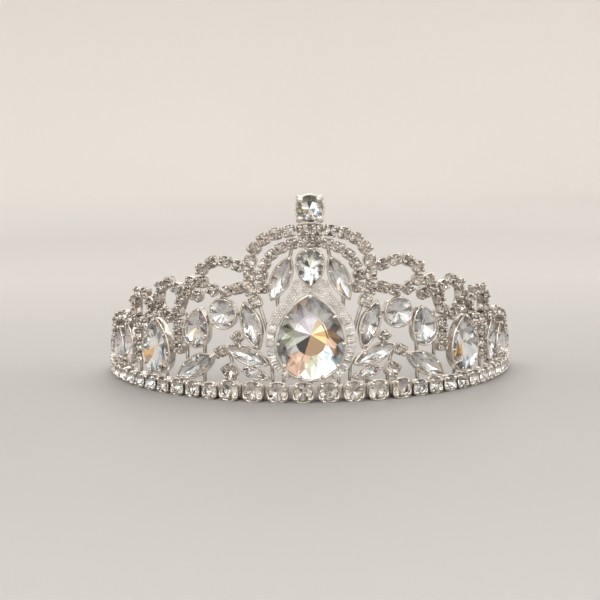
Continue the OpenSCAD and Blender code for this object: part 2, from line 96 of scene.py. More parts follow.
def solids(node):
    """The separate solids of a CAD node, each as its points and its triangles."""
    points, triangles = read_mesh(node)
    label = np.arange(len(points))
    while True:
        lowest = label[triangles].min(axis=1)
        new = label.copy()
        for k in range(3):
            np.minimum.at(new, triangles[:, k], lowest)
        new = new[new]
        if (new == label).all():
            break
        label = new
    found = []
    for root in np.unique(label[triangles[:, 0]]):
        mine = triangles[label[triangles[:, 0]] == root]
        used, local = np.unique(mine, return_inverse=True)
        found.append((points[used], local.reshape(-1, 3)))
    return found


def unit(v):
    return v / np.linalg.norm(v)


def facing(points, triangles):
    """The level direction in which a piece faces, from its flat back and front."""
    guess = unit((points.mean(axis=0) - AXIS) * LEVEL)
    a, b, c = (points[triangles[:, k]] for k in range(3))
    area = np.cross(b - a, c - a)
    size = np.linalg.norm(area, axis=1)
    aligned = area @ guess
    flat = np.abs(aligned) > FLAT_COSINE * np.maximum(size, 1e-15)
    normal = (area[flat] * np.sign(aligned[flat])[:, None]).sum(axis=0)
    return unit(normal * LEVEL)


class Seat:
    """Where a piece sits: its own across, along and outward directions and its middle."""

    def __init__(self, points, triangles):
        self.outward = facing(points, triangles)
        self.tangent = np.cross(UP, self.outward)
        self.origin = AXIS
        self.across = self.tangent
        self.along = UP

    def local(self, points):
        d = points - self.origin
        return np.stack([d @ self.across, d @ self.along, d @ self.outward], axis=1)

    def world(self, p):
        p = np.asarray(p, float)
        return (self.origin + p[:, :1] * self.across + p[:, 1:2] * self.along
                + p[:, 2:3] * self.outward)

    def turn_to(self, direction):
        """Leans the seat so that its along direction is this direction in its own plane."""
        x, y = direction
        self.along = x * self.tangent + y * UP
        self.across = y * self.tangent - x * UP

    def shift(self, offset):
        self.origin = self.world([offset])[0]


def extent(xy):
    return xy.min(axis=0), xy.max(axis=0)


def stone_levels(p):
    """Heights of a stone's back, the two edges of its girdle and its table."""
    low, high = extent(p[:, :2])
    reach = np.abs(p[:, :2] - (low + high) / 2)
    widest = (reach > GIRDLE_SHARE * reach.max(axis=0)).any(axis=1)
    z = p[:, 2]
    return [z.min(), z[widest].min(), z[widest].max(), z.max()]


def outer_edge(seat, points):
    """The points of a stone's girdle, which lie between its edges' two heights, in its plane."""
    p = seat.local(points)
    _, low, high, _ = stone_levels(p)
    return p[(p[:, 2] > low - LEVEL_SLACK) & (p[:, 2] < high + LEVEL_SLACK)][:, :2]


def read_stone(kind, points, triangles):
    """A stone's seat, its cut (its kind, length and width) and its levels, from its CAD solid."""
    seat = Seat(points, triangles)
    edge = outer_edge(seat, points)
    if kind != "round":
        _, axes = np.linalg.eigh(np.cov((edge - edge.mean(axis=0)).T))
        seat.turn_to(axes[:, 1])
        edge = outer_edge(seat, points)
    low, high = extent(edge)
    width, length = high - low
    if kind == "pear":
        middle = (low + high) / 2
        wide = np.abs(edge[:, 0] - middle[0]) > PEAR_END_SHARE * width
        if edge[wide, 1].mean() > middle[1]:
            seat.turn_to([-(seat.along @ seat.tangent), -(seat.along @ UP)])
            low, high = extent(outer_edge(seat, points))
    seat.shift([*((low + high) / 2), 0])
    return seat, (kind, length, width), stone_levels(seat.local(points))


def seat_plane():
    """Distance from the tiara's axis to the plane on which every cup and setting stands."""
    points, triangles = solids("crown_setting")[0]
    return Seat(points, triangles).local(points)[:, 2].min()


SEAT_R = seat_plane()


# ---------- Mesh building ----------

def add_object(name, data):
    thing = bpy.data.objects.new(name, data)
    bpy.context.scene.collection.objects.link(thing)
    return thing


def finish_piece(piece, node):
    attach(piece, "root")
    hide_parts(node)


class Pieces:
    """Collects the closed shells of one visible piece."""

    def __init__(self, name):
        self.name = name
        self.count = 0
        self.points, self.faces, self.slots, self.smooth, self.painted_reflections = [], [], [], [], []

    def add(self, points, faces, slot=0, smooth=True, painted_reflections=(1, 1, 1)):
        self.points.append(np.asarray(points, float))
        self.faces += [tuple(i + self.count for i in f) for f in faces]
        self.slots += [slot] * len(faces) if np.isscalar(slot) else list(slot)
        self.smooth += [smooth] * len(faces) if np.isscalar(smooth) else list(smooth)
        self.painted_reflections += [painted_reflections] * len(faces) if np.isscalar(painted_reflections[0]) else list(painted_reflections)
        self.count += len(points)

    def put(self, seat, shape):
        """Adds a shape that is given as it lies in this seat."""
        points, faces = shape
        self.add(seat.world(points), faces)

    def build(self, materials, node):
        mesh = bpy.data.meshes.new(self.name)
        mesh.from_pydata(np.concatenate(self.points).tolist(), [], self.faces)
        mesh.polygons.foreach_set("material_index", np.array(self.slots, np.int32))
        mesh.polygons.foreach_set("use_smooth", np.array(self.smooth, bool))
        # Each face's painted reflection colour, which the foil materials show as the reflections
        # inside a stone
        painted_reflection = mesh.attributes.new("painted_reflection", "FLOAT_COLOR", "FACE")
        rgba = np.ones((len(self.faces), 4), np.float32)
        rgba[:, :3] = self.painted_reflections
        painted_reflection.data.foreach_set("color", rgba.ravel())
        for m in materials:
            mesh.materials.append(m)
        mesh.update()
        finish_piece(add_object(self.name, mesh), node)


def round_angles(count):
    return 2 * math.pi * np.arange(count) / count


def polar(radius, a):
    return np.stack([radius * np.cos(a), radius * np.sin(a)], axis=1)


def flat_ring(xy, z):
    z = np.full(len(xy), z) if np.isscalar(z) else z
    return np.concatenate([xy, z[:, None]], axis=1)


def circle(radius, z, count):
    return flat_ring(polar(radius, round_angles(count)), z)


def bridge(count, rings, closed_ends=True):
    """Quads between rings of count points each, with a flat face at each end."""
    faces = []
    for r in range(rings - 1):
        for i in range(count):
            j = (i + 1) % count
            a, b = r * count, (r + 1) * count
            faces.append((a + i, a + j, b + j, b + i))
    if closed_ends:
        faces.append(tuple(range(count - 1, -1, -1)))
        faces.append(tuple((rings - 1) * count + i for i in range(count)))
    return faces


def sweep(path, radii, sides):
    """A round rod along a path, with a radius at each of its points."""
    path = np.asarray(path, float)
    step = np.gradient(path, axis=0)
    step /= np.linalg.norm(step, axis=1)[:, None]
    a = round_angles(sides)[:, None]
    rings = []
    for p, d, r in zip(path, step, radii):
        u = unit(np.cross([0.0, 1.0, 0.0], d))
        v = np.cross(d, u)
        rings.append(p + r * (np.cos(a) * u + np.sin(a) * v))
    return np.concatenate(rings), bridge(sides, len(path))


def bead(centre, radius, sides, rings, flat):
    """A small closed ball, a little flattened outward where flat is under 1."""
    tip = np.array([0, 0, radius * flat])
    points = [np.array(centre) - tip]
    for k in range(1, rings):
        a = math.pi * k / rings
        points.extend(circle(radius * math.sin(a), -radius * flat * math.cos(a), sides) + centre)
    points.append(np.array(centre) + tip)
    last, top = 1 + (rings - 2) * sides, len(points) - 1
    faces = [(0, 1 + (i + 1) % sides, 1 + i) for i in range(sides)]
    faces += [tuple(1 + i for i in f) for f in bridge(sides, rings - 1, closed_ends=False)]
    faces += [(last + i, last + (i + 1) % sides, top) for i in range(sides)]
    return np.array(points), faces


def rounded_section(x, y, edge, steps):
    """The outline of a rectangle between these pairs of limits, with its corners rounded."""
    section = []
    for quarter, (i, j) in enumerate(((1, 1), (0, 1), (0, 0), (1, 0))):
        cx, cy = x[i] + edge * (1 - 2 * i), y[j] + edge * (1 - 2 * j)
        for k in range(steps + 1):
            t = math.radians(90 * quarter + 90 * k / steps)
            section.append((cx + edge * math.cos(t), cy + edge * math.sin(t)))
    return section


# ---------- Outlines ----------

OUTLINE_POINTS = 240


def navette_arc(length, width):
    """The radius and the half angle of a navette's side arcs."""
    radius = (length ** 2 + width ** 2) / (4 * width)
    return radius, math.asin(length / 2 / radius)


def pear_arcs(length, width):
    """How far past its middle line a pear's side arcs have their centres, the height of all its
    arcs' centres, and a side arc's angle."""
    rise = length - width / 2
    offset = (rise ** 2 - width ** 2 / 4) / width
    return offset, (width - length) / 2, math.atan2(rise, offset)


def navette_outline(length, width):
    radius, half = navette_arc(length, width)
    a = np.linspace(half, -half, OUTLINE_POINTS // 2, endpoint=False)
    left = np.stack([-(radius * np.cos(a) - radius + width / 2), radius * np.sin(a)], axis=1)
    return np.concatenate([left, -left])


def pear_outline(length, width):
    offset, foot_y, half = pear_arcs(length, width)
    quarter = OUTLINE_POINTS // 4
    a = np.linspace(half, 0, quarter, endpoint=False)
    left = (polar(width / 2 + offset, a) + [-offset, foot_y]) * [-1, 1]
    b = np.linspace(math.pi, 2 * math.pi, 2 * quarter, endpoint=False)
    foot = polar(width / 2, b) + [0, foot_y]
    right = left[::-1] * [-1, 1]
    return np.concatenate([left, foot, [[width / 2, foot_y]], right[:-1]])


def dense_outline(cut):
    """The outline of a cut as many points, from the tip and round to the left."""
    kind, length, width = cut
    if kind == "navette":
        return navette_outline(length, width)
    if kind == "pear":
        return pear_outline(length, width)
    return polar(width / 2, math.pi / 2 + round_angles(OUTLINE_POINTS))


def outline(cut, count):
    """count points spaced evenly round a stone's outline; the first is its tip."""
    dense = dense_outline(cut)
    closed = np.concatenate([dense, dense[:1]])
    run = np.concatenate([[0], np.cumsum(np.linalg.norm(np.diff(closed, axis=0), axis=1))])
    at = run[-1] * np.arange(count) / count
    return np.stack([np.interp(at, run, closed[:, k]) for k in range(2)], axis=1)


def grown(cut, by, count):
    """An outline this far outside a stone's, and further at a navette's two sharp tips."""
    kind, length, width = cut
    more = 3 if kind == "navette" else 2
    return outline((kind, length + more * by, width + 2 * by), count)


# ---------- Stones ----------

# A brilliant's main facets, and the corners round it
MAINS = 8
CORNERS = 2 * MAINS
# How far out its table, stars and mains reach, as shares of its outline
TABLE_SHARE = 0.56
STAR_SHARE = 0.82
MAIN_SHARE = 0.3

# Painted reflections: colours painted on the foil facets for the reflections inside the stones, and
# their shares, for the clawed stones and for the small stones in the cups
GEM_PAINTED_REFLECTIONS = [
    (0.98, 0.98, 0.97), (0.94, 0.94, 0.94), (1.0, 0.99, 0.98), (0.84, 0.83, 0.82),
    (0.64, 0.63, 0.62), (0.34, 0.34, 0.335), (0.92, 0.78, 0.62), (0.68, 0.56, 0.44),
    (0.80, 0.92, 1.0), (0.98, 0.84, 0.88),
]
GEM_SHARES = [0.25, 0.17, 0.24, 0.10, 0.06, 0.04, 0.04, 0.02, 0.05, 0.03]
CUP_PAINTED_REFLECTIONS = [
    (1.0, 0.975, 0.94), (0.92, 0.88, 0.83), (0.70, 0.655, 0.60), (0.45, 0.41, 0.37),
    (0.22, 0.20, 0.18), (0.90, 0.76, 0.66), (0.78, 0.88, 0.96), (0.78, 0.83, 0.70),
]
BASE_SHARES = [0.60, 0.17, 0.07, 0.03, 0.03, 0.04, 0.03, 0.03]
CHAIN_SHARES = [0.34, 0.16, 0.17, 0.11, 0.09, 0.06, 0.04, 0.03]
TINT_SPREAD = (0.9, 1.04)


# Painted reflections: a colour for each facet, drawn by its share, a little lighter or darker at
# random
def random_painted_reflections(count, seed, painted_reflections, shares):
    rng = np.random.default_rng(seed)
    picks = rng.choice(len(painted_reflections), size=count, p=shares)
    vary = rng.uniform(*TINT_SPREAD, (count, 1))
    return np.clip(np.array(painted_reflections)[picks] * vary, 0, 1)


def drawn_in(xy, focus, share):
    return focus + (xy - focus) * share


def brilliant_points(edge, parts, levels, focus):
    """The points of a brilliant's table, stars, girdle edges, mains and tip."""
    back, low, high, table = levels
    corner = edge[::parts]
    crown, depth = table - high, low - back
    flat = math.cos(math.pi / CORNERS)
    star_z = high + crown * (1 - flat * STAR_SHARE) / (1 - TABLE_SHARE)
    lower_z = low - depth * (1 - flat * MAIN_SHARE)
    return np.concatenate([
        flat_ring(drawn_in(corner[0::2], focus, TABLE_SHARE), table),
        flat_ring(drawn_in(corner[1::2], focus, STAR_SHARE), star_z),
        flat_ring(edge, high),
        flat_ring(edge, low),
        flat_ring(drawn_in(corner[1::2], focus, MAIN_SHARE), lower_z),
        [[*focus, back]],
    ])


def brilliant(cut, levels, parts, focus=(0.0, 0.0)):
    """A brilliant cut: table, stars, kites and upper facets over a girdle, and pointed mains
    and lower facets behind it. Returns points, faces, and each face's slot and smoothness."""
    edge = outline(cut, CORNERS * parts)
    points = brilliant_points(edge, parts, levels, np.array(focus))
    m, e = MAINS, len(edge)
    stars, top, bottom = m, 2 * m, 2 * m + e
    lowers, point = 2 * m + 2 * e, 3 * m + 2 * e
    faces, slots = [tuple(range(m))], [GLASS]
    for i in range(m):
        j = (i + 1) % m
        g0, g1, g2 = (2 * i) * parts, (2 * i + 1) * parts, (2 * i + 2) * parts
        crown_faces = [
            (i, stars + i, j),
            (i, stars + (i - 1) % m, top + g0, stars + i),
            (stars + i, *(top + k % e for k in range(g0, g1 + 1))),
            (stars + i, *(top + k % e for k in range(g1, g2 + 1))),
        ]
        lower_faces = [
            (point, lowers + i, bottom + g0, lowers + (i - 1) % m),
            (lowers + i, *(bottom + k % e for k in range(g1, g0 - 1, -1))),
            (lowers + i, *(bottom + k % e for k in range(g2, g1 - 1, -1))),
        ]
        faces += crown_faces + lower_faces
        slots += [GLASS] * len(crown_faces) + [FOIL] * len(lower_faces)
    smooth = [False] * len(faces) + [True] * e
    faces += [(top + k, bottom + k, bottom + (k + 1) % e, top + (k + 1) % e) for k in range(e)]
    return points, faces, slots + [GLASS] * e, smooth


def kind_of(node):
    if "navette" in node:
        return "navette"
    return "pear" if "pear" in node or "drop" in node else "round"


def stone_seats(node):
    """Every stone of a node: its seat, its cut and its levels."""
    kind = kind_of(node)
    return [read_stone(kind, *solid) for solid in solids(node)]


def make_stones(node, seed, parts, foil, painted_reflections, shares):
    """Stones on foil whose facets carry painted reflections, colours drawn at random by their
    shares.
    """
    pieces = Pieces(node + "_cut")
    for i, (seat, cut, levels) in enumerate(stone_seats(node)):
        points, faces, slots, smooth = brilliant(cut, levels, parts)
        colours = random_painted_reflections(len(faces), seed * 1000 + i, painted_reflections, shares)
        pieces.add(seat.world(points), faces, slots, smooth, colours)
    pieces.build([gem_glass, foil], node)


# Painted reflections: colours painted on the larger stones' foil facets for the reflections seen
# inside them,
# from under the tip and round to the left: of the inner kites, of the middle tier and of the rim
WHITE = (0.93, 0.93, 0.93)
LAVENDER = (0.82, 0.81, 0.90)
ICE = (0.72, 0.85, 0.95)
SMOKE = (0.45, 0.45, 0.445)
DARK = (0.05, 0.05, 0.048)
SAGE = (0.48, 0.51, 0.40)
ORANGE = (0.97, 0.65, 0.32)
CREAM = (0.98, 0.78, 0.54)
BROWN = (0.34, 0.235, 0.15)
ROSE = (0.58, 0.41, 0.32)
PEAR_PAINTED_REFLECTIONS = (
    [LAVENDER, LAVENDER, SMOKE, DARK, BROWN, BROWN, ORANGE, CREAM],
    [WHITE, LAVENDER, WHITE, SAGE, SAGE, SMOKE, ROSE, ROSE,
     SAGE, WHITE, ICE, ROSE, BROWN, SMOKE, WHITE, WHITE],
    [*[WHITE] * 4, SMOKE, WHITE, ROSE, WHITE,
     WHITE, LAVENDER, ICE, ICE, WHITE, SMOKE, WHITE, WHITE],
)
SIDE_PAINTED_REFLECTIONS = (
    [SMOKE, WHITE, WHITE, ORANGE, WHITE, ICE, SMOKE, WHITE],
    [WHITE, SMOKE, WHITE, WHITE, SMOKE, ORANGE, ROSE, WHITE,
     ICE, WHITE, ICE, WHITE, SMOKE, WHITE, SMOKE, WHITE],
    [WHITE, SMOKE] * 8,
)
DROP_PAINTED_REFLECTIONS = (
    [SMOKE, WHITE, SMOKE, WHITE, SAGE, DARK, SMOKE, WHITE],
    [WHITE, SMOKE, WHITE, WHITE, SMOKE, WHITE, SMOKE, WHITE,
     SAGE, WHITE, SMOKE, WHITE, WHITE, SMOKE, ICE, WHITE],
    [WHITE, WHITE, SMOKE, WHITE] * 4,
)
CROWN_PAINTED_REFLECTIONS = (
    [DARK, SMOKE, SAGE, ROSE, WHITE, WHITE, ICE, WHITE],
    [SMOKE, SAGE, WHITE, SAGE, ROSE, SAGE, WHITE, WHITE,
     ROSE, WHITE, ICE, ICE, WHITE, WHITE, SMOKE, SAGE],
    [SAGE, WHITE, WHITE, WHITE] * 4,
)
CLEAR = (0.96, 0.96, 0.96)
# Of a tiered back: how far out its two tiers end, how deep its point, kites and middle tier lie,
# the share of that at every second corner, and how much deeper its upper side is
TIER_SHARES = (0.47, 0.76)
TIER_DEPTHS = (0.69, 0.62, 0.42)
KITE_FOLD = 0.96
LEAN = 1.2
TIERED_PARTS = 3


def tiered_back(edge, parts, levels, focus, up):
    """A stone's back in tiers: kites round the point, a middle tier, and a rim up to the girdle,
    all deeper towards the upper side. Returns its points after the girdle's, and its faces by
    numbers from the girdle's first point."""
    back, low = levels[:2]
    corner = edge[::parts]
    n, e = len(corner), len(edge)
    inner, outer = (drawn_in(corner, focus, share) for share in TIER_SHARES)
    middle = (outer + np.roll(outer, -1, axis=0)) / 2
    half = np.abs((corner - focus) @ up).max()
    point_depth, kite_depth, middle_depth = TIER_DEPTHS

    def sunk(xy, share):
        return low - (low - back) * np.minimum(share * (1 + LEAN * ((xy - focus) @ up) / half), 1)

    kite_depths = kite_depth * np.where(np.arange(n) % 2, KITE_FOLD, 1.0)
    points = np.concatenate([
        flat_ring(inner, sunk(inner, kite_depths)),
        flat_ring(middle, sunk(middle, middle_depth)),
        [[*focus, low - (low - back) * point_depth]],
    ])
    first, second = e, e + n
    faces = [(e + 2 * n, first + (2 * i + 1) % n, first + 2 * i, first + (2 * i - 1) % n)
             for i in range(n // 2)]
    for i in range(n):
        j = (i + 1) % n
        rim = [k % e for k in range(j * parts if j else e, i * parts - 1, -1)]
        faces += [(first + i, first + j, second + i), (second + i, *rim)]
    for i in range(n):
        faces.append((first + i, second + i, i * parts, second + (i - 1) % n))
    return points, faces


def tier_painted_reflections(painted_reflections, n):
    """The painted reflection colours of a tiered back's faces, in the order in which tiered_back
    makes them.
    """
    inner, middle, rim = painted_reflections
    both = [painted_reflection for i in range(n) for painted_reflection in (middle[i], rim[i])]
    return [*inner, *both, *middle]


def make_tiered_stones(node, painted_reflections, glass, lift=0.0):
    """Large stones: a brilliant's crown over a back in tiers, whose foil facets carry these painted
    reflections.
    """
    parts = TIERED_PARTS
    girdle = CORNERS + CORNERS * parts
    end = girdle + CORNERS * parts
    pieces = Pieces(node + "_cut")
    for seat, cut, levels in stone_seats(node):
        focus = np.array([0.0, lift * cut[1]])
        points, faces, slots, smooth = brilliant(cut, levels, parts, focus)
        front = [k for k, slot in enumerate(slots) if slot == GLASS]
        up = np.array([seat.across[2], seat.along[2]])
        extra, back = tiered_back(points[girdle:end, :2], parts, levels, focus, up)
        pieces.add(
            seat.world(np.concatenate([points[:end], extra])),
            [faces[k] for k in front] + [tuple(girdle + i for i in f) for f in back],
            [GLASS] * len(front) + [FOIL] * len(back),
            [smooth[k] for k in front] + [False] * len(back),
            [CLEAR] * len(front) + tier_painted_reflections(painted_reflections, CORNERS),
        )
    pieces.build([glass, pear_foil], node)


# ---------- Cups ----------

CUP_SIDES = 32
# How far a cup's corners stand out, as a share of its radius, and how much its rim dips
CORNER = 0.2
RIM_DIP = 0.2 * MM
# A prong's radius on cups of this radius; wider cups have slightly thicker ones
COMMON_CUP_R = 1.8 * MM
PRONG_R = 0.41 * MM
PRONG_SIDES = 8
# How far a prong stands above its cup's rim, outside its wall and in over the stone
PRONG_RISE = 0.69 * MM
PRONG_OUT = 0.1 * MM
PRONG_OVER = 0.62 * MM
# How far down the wall a prong starts, and the angle at which its bend ends
PRONG_FOOT = 1.5 * MM
BEND = 1.2
# Stones further apart aren't in one chain, and closer are the same one
CHAIN_PITCH = 9 * MM
OWN_SPOT = 0.1 * MM
# A node whose middle is further out holds the cups of one side
ONE_SIDED = 5 * MM
# A cup's points lie within this many of its radii
CUP_REACH = 1.15


def nearest_turn(spots):
    """The turn of a cup's prongs, among the stones round it: half way between the chain's
    direction and its normal."""
    away = np.linalg.norm(spots, axis=1)
    away[away < OWN_SPOT] = 1
    near = spots[away.argmin()]
    if away.min() > CHAIN_PITCH:
        return math.pi / 4
    return math.atan2(near[1], near[0]) + math.pi / 4


def read_cups(cup_node, stone_node):
    """Each cup's seat, radius, height and turn, from the stone that it holds."""
    shells = [points for points, _ in solids(cup_node)]
    middle_x = sum(corner.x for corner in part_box(cup_node)) / 2
    stones = stone_seats(stone_node)
    centres = np.array([seat.world([[0, 0, SEAT_R + MM]])[0] for seat, *_ in stones])
    for (seat, (_, _, width), _), centre in zip(stones, centres):
        holders = [s for s in shells
                   if (s.min(axis=0) < centre).all() and (s.max(axis=0) > centre).all()]
        other_side = abs(middle_x) > ONE_SIDED and centre[0] * middle_x < 0
        if not holders or other_side:
            continue
        seat.shift([0, 0, SEAT_R])
        radius = width / 2 + FIT_GAP + CUP_WALL
        own = seat.local(np.concatenate(holders))
        own = own[np.linalg.norm(own[:, :2], axis=1) < radius * CUP_REACH]
        turn = nearest_turn(seat.local(centres)[:, :2])
        yield seat, radius, own[:, 2].max() - PRONG_RISE, turn


def cup_shell(radius, height, turn):
    """A stamped cup: a rounded back, a squared wall whose rim dips between the prongs, and the
    round seat inside it."""
    seat_r = radius - CUP_WALL
    a = round_angles(CUP_SIDES)
    lift = np.cos(4 * (a - turn))
    rings = []
    # Each ring's radius, its height, and how square it is
    for r, z, square in [
        (radius * 0.5, 0.0, 0.0), (radius * 0.86, 0.0, 0.3), (radius * 0.97, 0.16 * MM, 0.6),
        (radius, 0.5 * MM, 0.8), (radius, height - 0.75 * MM, 1.0),
        (radius + 0.02 * MM, height - 0.25 * MM, 1.0), (radius, height, 1.0),
        (radius - 0.1 * MM, height + 0.07 * MM, 0.9), (seat_r + 0.02 * MM, height - 0.02 * MM, 0.3),
        (seat_r, height - 0.35 * MM, 0.0), (seat_r, FLOOR, 0.0), (seat_r * 0.5, FLOOR, 0.0),
    ]:
        squared = r * (1 + CORNER * square * ((1 + lift) / 2))
        in_rim = z > height - 0.5 * MM and r > seat_r
        dipped = z + RIM_DIP * (lift - 0.4) if in_rim else z
        rings.append(flat_ring(polar(squared, a), dipped))
    return np.concatenate(rings), bridge(CUP_SIDES, len(rings))


def prong(reach, height, radius, over, sides):
    """A prong that rises up the wall at this reach and bends in over the stone's edge."""
    path, radii = [], []
    for z in np.linspace(-PRONG_FOOT, 0, 4):
        path.append([reach, 0, height + z])
        radii.append(radius * (0.75 + 0.2 * (z + PRONG_FOOT) / PRONG_FOOT))
    for a in np.linspace(0.25, BEND, 4):
        path.append([reach - over * (1 - math.cos(a)) * 1.3, 0, height + over * math.sin(a) * 0.62])
        radii.append(radius * (0.95 + 0.3 * a / BEND))
    tip = np.array(path[-1])
    last = unit(tip - np.array(path[-2]))
    for share, size in ((0.6, 0.96), (1.0, 0.55)):
        path.append((tip + last * radius * share).tolist())
        radii.append(radius * size)
    return sweep(path, radii, sides)


def turned(points, angle):
    """Points turned about the outward direction."""
    c, s = math.cos(angle), math.sin(angle)
    return points @ np.array([[c, s, 0], [-s, c, 0], [0, 0, 1]])


def make_cups(node, stone_node, metal):
    pieces = Pieces(node + "_stamped")
    for seat, radius, height, turn in read_cups(node, stone_node):
        pieces.put(seat, cup_shell(radius, height, turn))
        thick = PRONG_R * (1 + 0.25 * (radius / COMMON_CUP_R - 1))
        points, faces = prong(radius + PRONG_OUT, height, thick, PRONG_OVER, PRONG_SIDES)
        for k in range(4):
            pieces.put(seat, (turned(points, turn + k * math.pi / 2), faces))
    pieces.build([metal], node)


# ---------- Settings ----------

# Places of the claws: as shares of the angle of a side arc, and in degrees round a pear's foot
NAVETTE_CLAWS = (-0.42, 0.42)
PEAR_SIDE_CLAWS = (0.05, 0.5)
PEAR_FOOT_CLAWS = (215, 250, 290, 325)
CLAW_SIDES = 10
# A claw's radius and how far it bends over the stone, and the corners round a setting
CLAW_R, CLAW_OVER = 0.34 * MM, 0.8 * MM
SETTING_SIDES = 72
# How far a setting's rim stands above its stone's girdle
RIM_RISE = 0.05 * MM
# Radius of the grains of a milled rim, and their pitch in radii
GRAIN = 0.2 * MM
MILLING_PITCH = 3.1
# Where the plate's crest starts, in lengths of its stone above the middle, and its grains
HALO_SEED = 11
CREST_START = 0.17
CREST_PITCH = 0.92 * MM
CREST_SCATTER = 0.07 * MM
# How much longer and wider than the stone the outlines are between which the ridges lie: at the
# start, and at the end along and across the stone; and half a ridge's width in steps round them
FLUTE_LIMITS = (1.9 * MM, 5.6 * MM, 7.6 * MM)
FLUTE_STEPS = 184
FLUTE_WIDTH = 0.48


def claw_spots(cut):
    """Places round a stone's edge where its claws stand, with the direction they stand out in."""
    kind, length, width = cut
    if kind == "round":
        angles = [math.radians(a) for a in (45, 135, 225, 315)]
        return [(width / 2 * math.cos(a), width / 2 * math.sin(a), a) for a in angles]
    if kind == "navette":
        radius, half = navette_arc(length, width)
        spots = [(0, length / 2, math.pi / 2), (0, -length / 2, -math.pi / 2)]
        for share in NAVETTE_CLAWS:
            a = share * half
            x, y = radius * math.cos(a) - radius + width / 2, radius * math.sin(a)
            spots += [(x, y, a), (-x, -y, a + math.pi)]
        return spots
    offset, foot_y, half = pear_arcs(length, width)
    spots = [(0, length / 2, math.pi / 2)]
    for b in (math.radians(d) for d in PEAR_FOOT_CLAWS):
        spots.append((width / 2 * math.cos(b), foot_y + width / 2 * math.sin(b), b))
    for share in PEAR_SIDE_CLAWS:
        a = share * half
        x = (width / 2 + offset) * math.cos(a) - offset
        y = foot_y + (width / 2 + offset) * math.sin(a)
        spots += [(x, y, a), (-x, y, math.pi - a)]
    return spots


def setting_shell(cut, height, count):
    """A setting's wall: rounded at the back, with a rolled rim and the bearing for the stone."""
    wall = FIT_GAP + SETTING_WALL
    # How far each ring stands outside the stone, and its height
    profile = [
        (wall - 1.6 * MM, 0.0), (wall - 0.35 * MM, 0.0), (wall - 0.06 * MM, 0.15 * MM),
        (wall, 0.5 * MM), (wall - 0.02 * MM, height * 0.55), (wall + 0.04 * MM, height - 0.5 * MM),
        (wall + 0.03 * MM, height - 0.18 * MM), (wall - 0.16 * MM, height),
        (FIT_GAP + 0.16 * MM, height), (FIT_GAP, height - 0.14 * MM), (FIT_GAP, height - 0.6 * MM),
        (FIT_GAP - 0.2 * MM, FLOOR), (FIT_GAP - 1.1 * MM, FLOOR),
    ]
    rings = [flat_ring(grown(cut, by, count), z) for by, z in profile]
    return np.concatenate(rings), bridge(count, len(rings))


def add_milling(pieces, seat, cut, height, grain):
    """Grains of milled metal round a setting's rim."""
    by = FIT_GAP + SETTING_WALL * 0.55
    around = np.linalg.norm(np.diff(dense_outline(cut), axis=0), axis=1).sum()
    for x, y in grown(cut, by, int(around / (MILLING_PITCH * grain))):
        pieces.put(seat, bead([x, y, height], grain, 6, 4, 0.8))


def make_settings(node, stones, claw_r=CLAW_R, over=CLAW_OVER, count=SETTING_SIDES, grain=GRAIN):
    """Settings with this many corners round, and with claws over their stones."""
    pieces = Pieces(node + "_cast")
    for seat, cut, levels in stone_seats(stones):
        seat.shift([0, 0, SEAT_R])
        height = levels[2] - SEAT_R + RIM_RISE
        pieces.put(seat, setting_shell(cut, height, count))
        add_milling(pieces, seat, cut, height, grain)
        for x, y, a in claw_spots(cut):
            points, faces = prong(FIT_GAP + claw_r * 0.9, height, claw_r, over, CLAW_SIDES)
            pieces.put(seat, (turned(points, a) + [x, y, 0], faces))
    pieces.build([setting_metal], node)


def plate_front(seat, points, triangles):
    """The flat front of a plate as triangles in its own plane, and its height."""
    corners = seat.local(points)[triangles]
    front = corners[:, :, 2].max()
    return corners[(corners[:, :, 2] > front - 0.01 * MM).all(axis=1)][:, :, :2], front


def is_on(spot, front):
    """Whether a spot lies on any of these triangles."""
    a, b, c = front[:, 0], front[:, 1], front[:, 2]
    sides = [np.cross(v - u, spot - u) for u, v in ((a, b), (b, c), (c, a))]
    return ((np.array(sides) >= 0).all(axis=0) | (np.array(sides) <= 0).all(axis=0)).any()


def stays_on(spot, margin, front):
    """Whether a spot and the margin round it lie on these triangles."""
    around = circle(margin, 0, 6)[:, :2]
    return all(is_on(spot + step, front) for step in around)


def add_grains(pieces, seat, front, height, above, rng):
    """Grains of milled metal, packed like a honeycomb over the plate's crest."""
    low, high = extent(front.reshape(-1, 2))
    pitch = CREST_PITCH
    rows = np.arange(max(low[1], above), high[1], pitch * 0.87)
    for k, y in enumerate(rows):
        for x in np.arange(low[0] + (k % 2) * pitch / 2, high[0], pitch):
            spot = np.array([x, y]) + rng.normal(0, CREST_SCATTER, 2)
            size = pitch * rng.uniform(0.34, 0.5)
            if stays_on(spot, size * 0.5, front):
                lift = size * rng.uniform(0.1, 0.7)
                pieces.put(seat, bead([*spot, height + lift], size, 8, 5, 0.95))


